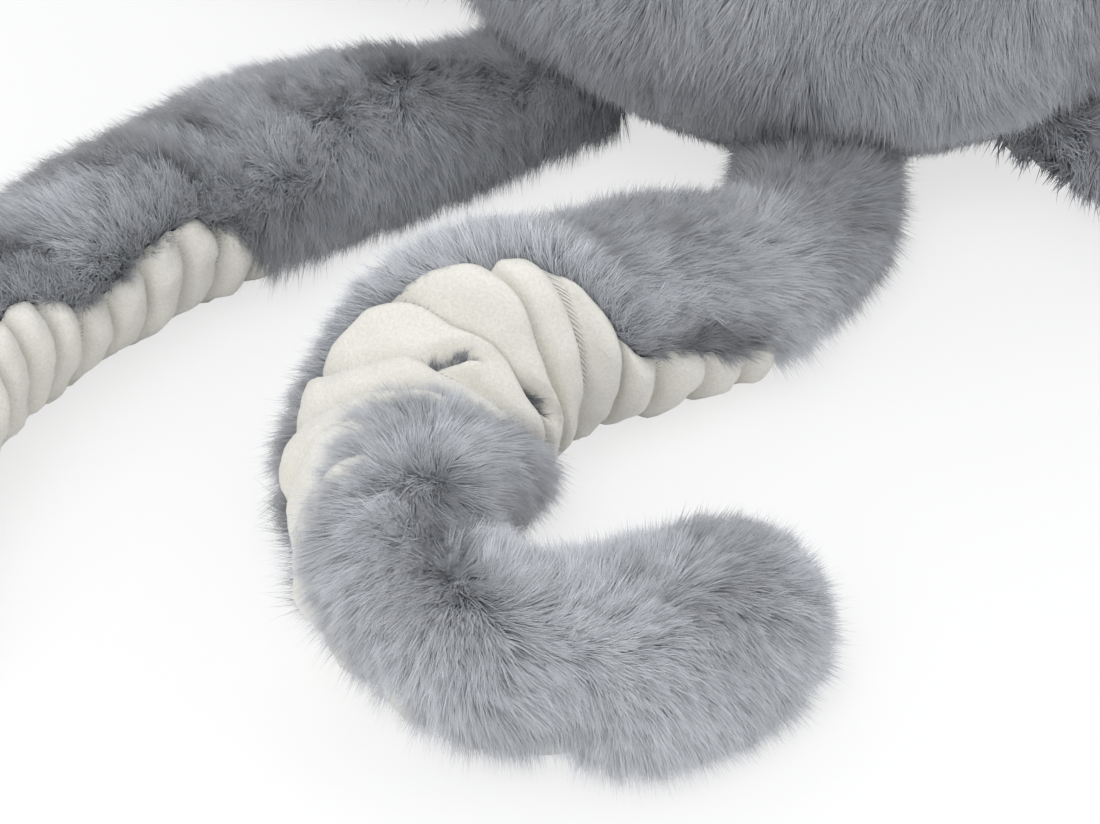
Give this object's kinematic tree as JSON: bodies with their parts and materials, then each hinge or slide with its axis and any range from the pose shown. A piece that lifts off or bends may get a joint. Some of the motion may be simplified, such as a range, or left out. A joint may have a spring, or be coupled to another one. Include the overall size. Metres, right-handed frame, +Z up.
{
  "type": "plush octopus",
  "caption": "Stuffed sea creature with a squat furry head on long soft arms that curl on the floor, each with a quilted ribbed underside.",
  "frame": {"origin": "middle of the flat base panel, on the surface that the toy sits on", "axes": "+Z up, the face looks along -Y, +X to the toy's right-hand side as seen from the front"},
  "size_m": [0.7286, 0.6729, 0.2339],
  "materials": {
    "fur": "long pile",
    "ribbed": "short pile, quilted in ribs",
    "filling": "loose fibre",
    "calico": "plain weave",
    "eye": "polished",
    "washer": "moulded"
  },
  "bodies": {
    "body": {"head_panel_right": "fur", "head_panel_back": "fur", "head_panel_left": "fur", "head_panel_face": "fur", "head_stuffing": "filling", "bean_pouch": "calico", "base_panel": "ribbed", "eye_left": "eye", "eye_washer_left": "washer", "eye_right": "eye", "eye_washer_right": "washer", "front_left_arm_root": "fur", "left_front_arm_root": "fur", "left_rear_arm_root": "fur", "rear_left_arm_root": "fur", "rear_right_arm_root": "fur", "right_rear_arm_root": "fur", "right_front_arm_root": "fur", "front_right_arm_root": "fur"},
    "front_left_arm": {"front_left_arm_fur": "fur", "front_left_arm_underside": "ribbed", "front_left_arm_stuffing": "filling"},
    "left_front_arm": {"left_front_arm_fur": "fur", "left_front_arm_underside": "ribbed", "left_front_arm_stuffing": "filling"},
    "left_rear_arm": {"left_rear_arm_fur": "fur", "left_rear_arm_underside": "ribbed", "left_rear_arm_stuffing": "filling"},
    "rear_left_arm": {"rear_left_arm_fur": "fur", "rear_left_arm_underside": "ribbed", "rear_left_arm_stuffing": "filling"},
    "rear_right_arm": {"rear_right_arm_fur": "fur", "rear_right_arm_underside": "ribbed", "rear_right_arm_stuffing": "filling"},
    "right_rear_arm": {"right_rear_arm_fur": "fur", "right_rear_arm_underside": "ribbed", "right_rear_arm_stuffing": "filling"},
    "right_front_arm": {"right_front_arm_fur": "fur", "right_front_arm_underside": "ribbed", "right_front_arm_stuffing": "filling"},
    "front_right_arm": {"front_right_arm_fur": "fur", "front_right_arm_underside": "ribbed", "front_right_arm_stuffing": "filling"}
  },
  "joints": [
    {"name": "front_left_arm_lift", "type": "hinge", "parent": "body", "child": "front_left_arm", "pos_m": [-0.0482, -0.1164, 0.0375], "axis": [-0.9239, 0.3827, 0], "range_deg": [0, 35]},
    {"name": "left_front_arm_lift", "type": "hinge", "parent": "body", "child": "left_front_arm", "pos_m": [-0.1202, -0.0379, 0.0375], "axis": [-0.3007, 0.9537, 0], "range_deg": [0, 35]},
    {"name": "left_rear_arm_lift", "type": "hinge", "parent": "body", "child": "left_rear_arm", "pos_m": [-0.1091, 0.063, 0.0375], "axis": [0.5, 0.866, 0], "range_deg": [0, 35]},
    {"name": "rear_left_arm_lift", "type": "hinge", "parent": "body", "child": "rear_left_arm", "pos_m": [-0.0389, 0.1198, 0.0375], "axis": [0.9511, 0.309, 0], "range_deg": [0, 35]},
    {"name": "rear_right_arm_lift", "type": "hinge", "parent": "body", "child": "rear_right_arm", "pos_m": [0.0482, 0.1164, 0.0375], "axis": [0.9239, -0.3827, 0], "range_deg": [0, 35]},
    {"name": "right_rear_arm_lift", "type": "hinge", "parent": "body", "child": "right_rear_arm", "pos_m": [0.1164, 0.0482, 0.0375], "axis": [0.3827, -0.9239, 0], "range_deg": [0, 35]},
    {"name": "right_front_arm_lift", "type": "hinge", "parent": "body", "child": "right_front_arm", "pos_m": [0.1164, -0.0482, 0.0375], "axis": [-0.3827, -0.9239, 0], "range_deg": [0, 35]},
    {"name": "front_right_arm_lift", "type": "hinge", "parent": "body", "child": "front_right_arm", "pos_m": [0.0482, -0.1164, 0.0375], "axis": [-0.9239, -0.3827, 0], "range_deg": [0, 35]}
  ]
}
